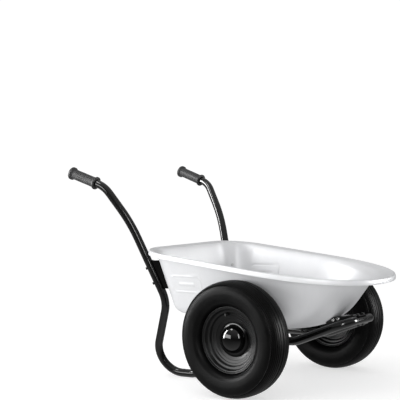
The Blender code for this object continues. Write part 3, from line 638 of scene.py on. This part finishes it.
def rim_profile():
    """Closed section of one pressed rim half: a rolled lip, then three walls down to the hub's flat."""
    lip = [(RIM_LIP_RADIUS + RIM_LIP_ROUND * math.cos(angle),
            RIM_LIP_OFFSET + RIM_LIP_ROUND * math.sin(angle))
           for angle in spaced(math.radians(-20), math.radians(165), 9)]
    face = lip + [(0.1098, 0.0303)]
    for top, top_level, foot, foot_level in RIM_WALLS:
        face += [(top + 0.0016, top_level + 0.0005), (top + 0.0004, top_level),
                 (top - 0.0005, top_level - 0.0012), (foot + 0.0005, foot_level + 0.0011),
                 (foot - 0.0004, foot_level), (foot - 0.0016, foot_level - 0.0003)]
    face += [(0.0655, 0.0036), (0.0635, 0.0030), (0.0620, 0.0026), (0.0170, 0.0026)]
    back = []
    for index, (radius, offset) in enumerate(face):
        before, after = face[max(index - 1, 0)], face[min(index + 1, len(face) - 1)]
        run = Vector((after[0] - before[0], after[1] - before[1])).normalized()
        back.append((radius - run.y * RIM_SHEET, offset + run.x * RIM_SHEET))
    return face + back[::-1]


def cap_profile():
    """The hub cap's line from its closed back, over the flange that fills the hub's recess, to its crown."""
    dome = [(CAP_RADIUS * math.cos(angle) ** CAP_POWER, CAP_BASE + CAP_CROWN * math.sin(angle))
            for angle in spaced(0, math.radians(87), 30)]
    return [(0.0050, 0.0380), (0.0200, 0.0360), (0.0370, 0.0270), (0.0454, 0.0120), (0.0470, 0.0031),
            (0.0606, 0.0031), (0.0606, 0.0044), (0.0560, 0.0040), (0.0510, 0.0042), (0.0488, 0.0052), *dome]


def make_valve(side, hand, body):
    """A bent stem that comes in from the inner tube, turns outboard and ends in a screw cap."""
    line = (
        ((0, 0, 0.1285), 0.0),
        ((0, 0, VALVE_HEIGHT), 0.010),
        ((0, hand * VALVE_RUN, VALVE_HEIGHT), 0.0),
    )
    path = [VALVE_TURN @ point for point in bent_path(line)]
    frames = path_frames(path, Vector((1, 0, 0)))
    rings = [ring_around(place, VALVE_RADIUS, VALVE_SIDES) for place in frames]
    tip, way = path[-1], Vector((0, hand, 0))
    screw_cap = ((0.0, 0.0046), (0.0004, 0.0052), (0.0040, 0.0052), (0.0044, 0.0049), (0.0052, 0.0049),
                 (0.0056, 0.0052), (0.0110, 0.0052), (0.0122, 0.0047), (0.0130, 0.0036))
    for along, radius in screw_cap:
        rings.append(ring_around((tip + way * along, *frames[-1][1:]), radius, VALVE_SIDES))
    centre = Vector((0, hand * HALF_TRACK, WHEEL_RADIUS))
    points, faces = joined_rings([[point + centre for point in ring] for ring in rings])
    make_piece(f"fine_valve_stem_{side}", points, faces, "rubber", body, f"valve_stem_{side}")


def sleeve_profile(inner, outer, low, high, edge=0.0004):
    """Section of a short tube from offset low to high, with small chamfers on its outer edges."""
    return ((inner, low), (inner, high), (outer - edge, high), (outer, high - edge), (outer, low + edge),
            (outer - edge, low))


def make_wheel(side, hand):
    """The pieces of one wheel, all but the inner tube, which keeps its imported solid."""
    body = f"{side}_wheel"
    place = {"body": body, "centre_y": HALF_TRACK, "hand": hand}
    turned(f"fine_tyre_{side}", tyre_profile(), "tyre", steps=TYRE_STEPS, **place)
    turned(f"fine_rim_outer_{side}", rim_profile(), "rim", **place)
    turned(f"fine_rim_inner_{side}", [(radius, -offset) for radius, offset in rim_profile()], "rim", **place)
    turned(f"fine_hub_cap_{side}", cap_profile(), "cap", closed=False, steps=CAP_STEPS, **place)
    sleeve = sleeve_profile(0.0132, 0.0162, -0.0400, 0.0105)
    turned(f"fine_hub_sleeve_{side}", sleeve, "zinc", steps=HUB_STEPS, **place)
    for end, low, high in (("outer", -0.0095, 0.0105), ("inner", -0.0400, -0.0200)):
        bush = sleeve_profile(0.0104, 0.0128, low, high)
        turned(f"fine_bush_{end}_{side}", bush, "plastic", steps=HUB_STEPS, **place)
    make_valve(side, hand, body)


def make_axle():
    """The axle rod with eased ends, a collar inside each wheel and a washer outside it."""
    end, flank = AXLE_RADIUS - AXLE_EASE, AXLE_REACH - AXLE_EASE
    rod = ((end, -AXLE_REACH), (AXLE_RADIUS, -flank), (AXLE_RADIUS, flank), (end, AXLE_REACH))
    turned("fine_axle", rod, "zinc", "frame", 0.0, 1, steps=HUB_STEPS, closed=False)
    collar = sleeve_profile(0.0103, 0.0165, -0.0520, -0.0404, edge=0.0009)
    washer = sleeve_profile(0.0103, 0.0170, 0.0108, 0.0126, edge=0.0003)
    for side, hand in SIDES:
        place = {"body": "frame", "centre_y": HALF_TRACK, "hand": hand}
        turned(f"fine_axle_collar_{side}", collar, "zinc", steps=HUB_STEPS, **place)
        turned(f"fine_axle_washer_{side}", washer, "zinc", steps=HUB_STEPS, **place)


def make_brace():
    """The hollow strut between the side tubes, on their rise from the leg loops to the axle."""
    low, high = Vector(SIDE_TUBE_LINE[5][0]), Vector(SIDE_TUBE_LINE[6][0])
    centre = low.lerp(high, (BRACE_X - low.x) / (high.x - low.x))
    half = centre.y - TUBE_RADIUS - BRACE_GAP
    eased_end, eased = half - BRACE_EASE, BRACE_RADIUS - BRACE_EASE
    rings = []
    for y, radius in ((-half, eased), (-eased_end, BRACE_RADIUS), (eased_end, BRACE_RADIUS), (half, eased),
                      (half, BRACE_BORE), (-half, BRACE_BORE)):
        rings.append([Vector((centre.x + radius * math.cos(a), y, centre.z + radius * math.sin(a)))
                      for a in circle_angles(BRACE_SIDES)])
    points, faces = joined_rings(rings, closed_path=True)
    make_piece("fine_cross_brace", points, faces, "paint", "frame", "cross_brace")


def make_front_support():
    """A folded plate from the top of the front loop's cross tube to the tray's nose, then down along it."""
    skin = tray_skin()
    front = len(skin[0]) // 2
    column = [ring[front] for ring in skin[4:]]
    clear = SHEET + SUPPORT_CLEAR + SUPPORT_PLATE / 2
    wall = []
    for low, here, high in zip(column, column[1:], column[2:]):
        if SUPPORT_LOW <= here.z <= SUPPORT_HIGH:
            up = (high - low).normalized()
            wall.append(here + Vector((up.z, 0, -up.x)) * clear)
    cross, cross_z = LOOP_LINE[2][0][0], LOOP_LINE[2][0][2]
    over = cross_z + TUBE_RADIUS + GAP + SUPPORT_PLATE / 2
    above_wall = wall[-1] + Vector((0.001, 0, 0.002))
    line = (((cross + SUPPORT_FRONT, 0, over), 0.0), ((cross - SUPPORT_FOLD, 0, over), 0.005),
            (tuple(above_wall), 0.002), (tuple(wall[-2]), 0.0))
    path = bent_path(line) + wall[-3::-1]
    corners = ((-1, -0.7), (-1, 0.7), (-0.985, 1), (0.985, 1), (1, 0.7), (1, -0.7), (0.985, -1), (-0.985, -1))
    rings = [[point + side * (SUPPORT_WIDTH / 2 * wide) + up * (SUPPORT_PLATE / 2 * thick)
              for wide, thick in corners] for point, side, up in path_frames(path, Vector((0, 1, 0)))]
    points, faces = joined_rings(rings)
    make_piece("fine_front_support", points, faces, "paint", "frame", "front_support")


# Carried-over solids: plates, bolts and nuts keep their shape, and get eased edges and a finish ----------
def dress(name, finish, edge):
    """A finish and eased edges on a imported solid, whose shape stays as it is."""
    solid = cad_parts[name]
    solid.data.materials.clear()
    solid.data.materials.append(MATERIALS[finish])
    weld = solid.modifiers.new("weld", "WELD")
    weld.merge_threshold = 0.00002
    ease = solid.modifiers.new("eased_edges", "BEVEL")
    ease.width = edge
    ease.segments = 2
    ease.limit_method = "ANGLE"
    ease.angle_limit = math.radians(28)
    ease.harden_normals = True


def dress_solids():
    """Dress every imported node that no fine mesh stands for, by what its name says it is."""
    replaced = set()
    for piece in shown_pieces():
        replaced.update(piece.get("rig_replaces", []))
    for name in sorted(set(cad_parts) - replaced):
        if "tray_bolt" in name or "nut" in name:
            dress(name, "zinc", 0.0005)
        elif "bolt" in name or "stud" in name:
            dress(name, "bolt", 0.0005)
        elif "inner_tube" in name:
            dress(name, "rubber", 0.0008)
        else:
            dress(name, "paint", 0.0007)


# Studio -------------------------------------------------------------------------------------------------
def make_floor():
    """A white floor that glows a little, so that the shadows on it stay faint. Only the camera sees it."""
    mesh = bpy.data.meshes.new("studio_floor")
    corners = ((-1, -1), (1, -1), (1, 1), (-1, 1))
    mesh.from_pydata([(FLOOR_REACH * x, FLOOR_REACH * y, 0) for x, y in corners], [], [(0, 1, 2, 3)])
    floor = bpy.data.objects.new("studio_floor", mesh)
    bpy.context.scene.collection.objects.link(floor)
    # Matt and glossy surfaces see the world through the floor, and it takes none of the world's light away
    floor.visible_diffuse = False
    floor.visible_glossy = False
    floor.visible_shadow = False
    material = bpy.data.materials.new("studio_floor")
    material.use_nodes = True
    shader = material.node_tree.nodes["Principled BSDF"]
    shader.inputs["Base Color"].default_value = (FLOOR_GREY, FLOOR_GREY, FLOOR_GREY, 1)
    shader.inputs["Roughness"].default_value = 0.9
    shader.inputs["Specular IOR Level"].default_value = 0.0
    shader.inputs["Emission Color"].default_value = (1.0, 1.0, 1.0, 1)
    shader.inputs["Emission Strength"].default_value = FLOOR_GLOW
    mesh.materials.append(material)


def sky(tree, measure, low, high, from_low, from_high):
    """A white background whose strength goes from low to high as a measure of the direction climbs."""
    climb = node(tree, "ShaderNodeMapRange", {"From Min": from_low, "From Max": from_high, "To Min": low,
                                              "To Max": high})
    tree.links.new(measure, climb.inputs["Value"])
    background = node(tree, "ShaderNodeBackground", {"Color": (1.0, 1.0, 1.0, 1)})
    tree.links.new(climb.outputs["Result"], background.inputs["Strength"])
    return background.outputs["Background"]


def make_world():
    """A white studio: soft light from all round for matt surfaces, a dark horizon for glossy ones to mirror,
    and a plain white backdrop."""
    world = bpy.data.worlds.new("studio")
    bpy.context.scene.world = world
    world.use_nodes = True
    tree = world.node_tree
    tree.nodes.clear()
    link = tree.links.new
    place = node(tree, "ShaderNodeTexCoord")
    parts = node(tree, "ShaderNodeSeparateXYZ")
    link(place.outputs["Generated"], parts.inputs[0])
    towards = node(tree, "ShaderNodeVectorMath", operation="DOT_PRODUCT")
    towards.inputs[1].default_value = SOFT_LIGHT_FROM
    link(place.outputs["Generated"], towards.inputs[0])
    soft = sky(tree, towards.outputs["Value"], 0.42, 0.90, -0.7, 0.5)
    from_level = node(tree, "ShaderNodeMath", operation="ABSOLUTE")
    link(parts.outputs["Z"], from_level.inputs[0])
    mirrored = sky(tree, from_level.outputs["Value"], 0.10, 1.0, 0.05, 0.95)
    backdrop = node(tree, "ShaderNodeBackground", {"Color": (1.0, 1.0, 1.0, 1), "Strength": BACKDROP_GLOW})
    path = node(tree, "ShaderNodeLightPath")
    by_gloss = node(tree, "ShaderNodeMixShader")
    by_camera = node(tree, "ShaderNodeMixShader")
    out = node(tree, "ShaderNodeOutputWorld")
    link(path.outputs["Is Glossy Ray"], by_gloss.inputs["Fac"])
    link(soft, by_gloss.inputs[1])
    link(mirrored, by_gloss.inputs[2])
    link(path.outputs["Is Camera Ray"], by_camera.inputs["Fac"])
    link(by_gloss.outputs["Shader"], by_camera.inputs[1])
    link(backdrop.outputs["Background"], by_camera.inputs[2])
    link(by_camera.outputs["Shader"], out.inputs["Surface"])


def make_light(name, place, target, size, power, diffuse=True, gloss=True):
    """A soft rectangular light. It can be kept out of the matt light, or out of what glossy skins mirror."""
    data = bpy.data.lights.new(name, "AREA")
    data.shape = "RECTANGLE"
    data.size, data.size_y = size
    data.energy = power
    light = bpy.data.objects.new(name, data)
    bpy.context.scene.collection.objects.link(light)
    light.location = Vector(place)
    light.rotation_mode = "QUATERNION"
    light.rotation_quaternion = (Vector(target) - Vector(place)).to_track_quat("-Z", "Y")
    light.visible_camera = False
    light.visible_diffuse = diffuse
    light.visible_glossy = gloss


def make_camera():
    """A level camera turned to its azimuth and elevation, then rolled about its own line of sight."""
    azimuth, elevation = math.radians(CAMERA_AZIMUTH), math.radians(CAMERA_ELEVATION)
    back = Vector((math.sin(azimuth) * math.cos(elevation), -math.cos(azimuth) * math.cos(elevation),
                   math.sin(elevation)))
    right = Vector((0, 0, 1)).cross(back).normalized()
    up = back.cross(right)
    level = Matrix((right, up, back)).transposed()
    data = bpy.data.cameras.new("camera")
    data.lens = CAMERA_LENS
    data.sensor_width = 36.0
    data.clip_end = 200.0
    camera = bpy.data.objects.new("camera", data)
    bpy.context.scene.collection.objects.link(camera)
    turn = level @ Matrix.Rotation(math.radians(CAMERA_ROLL), 3, "Z")
    camera.matrix_world = Matrix.Translation(CAMERA_PLACE + SHIFT) @ turn.to_4x4()
    bpy.context.scene.camera = camera


# Build --------------------------------------------------------------------------------------------------
make_tray()
for side, hand in SIDES:
    side_line = [((x, hand * y, z), bend) for (x, y, z), bend in SIDE_TUBE_LINE]
    make_tube(f"side_tube_{side}", bent_path(side_line), Vector((0, 1, 0)))
    make_grip(side, hand)
    make_wheel(side, hand)
make_tube("front_loop", bent_path(LOOP_LINE), Vector((-0.36, 0, 0.93)))
make_axle()
make_brace()
make_front_support()
dress_solids()

make_floor()
make_world()
# Lights: where each stands, what it faces, its size, and its power in watts
make_light("key", (-2.2, -3.7, 0.85), (0, 0, 0.40), (2.6, 1.2), 92)
make_light("low_fill", (1.7, -3.6, 0.55), (0, 0, 0.38), (1.6, 0.7), 19, gloss=False)
make_light("nose_fill", (3.3, -0.9, 0.50), (0.3, 0, 0.30), (1.6, 0.7), 14, gloss=False)
make_light("left_softbox", (-2.8, -1.95, 1.3), (0, 0, 0.4), (0.6, 2.6), 215, diffuse=False)
make_light("top_softbox", (-1.0, -1.8, 3.4), (0, 0, 0.4), (0.8, 0.8), 30, diffuse=False)
make_light("front_strip", (2.6, -2.2, 1.6), (0.2, 0, 0.3), (0.6, 1.8), 50, diffuse=False)
make_light("rear_strip", (2.9, 2.6, 1.0), (0.2, 0, 0.3), (0.9, 1.8), 150, diffuse=False)
make_camera()
bpy.context.scene.view_settings.view_transform = "Standard"
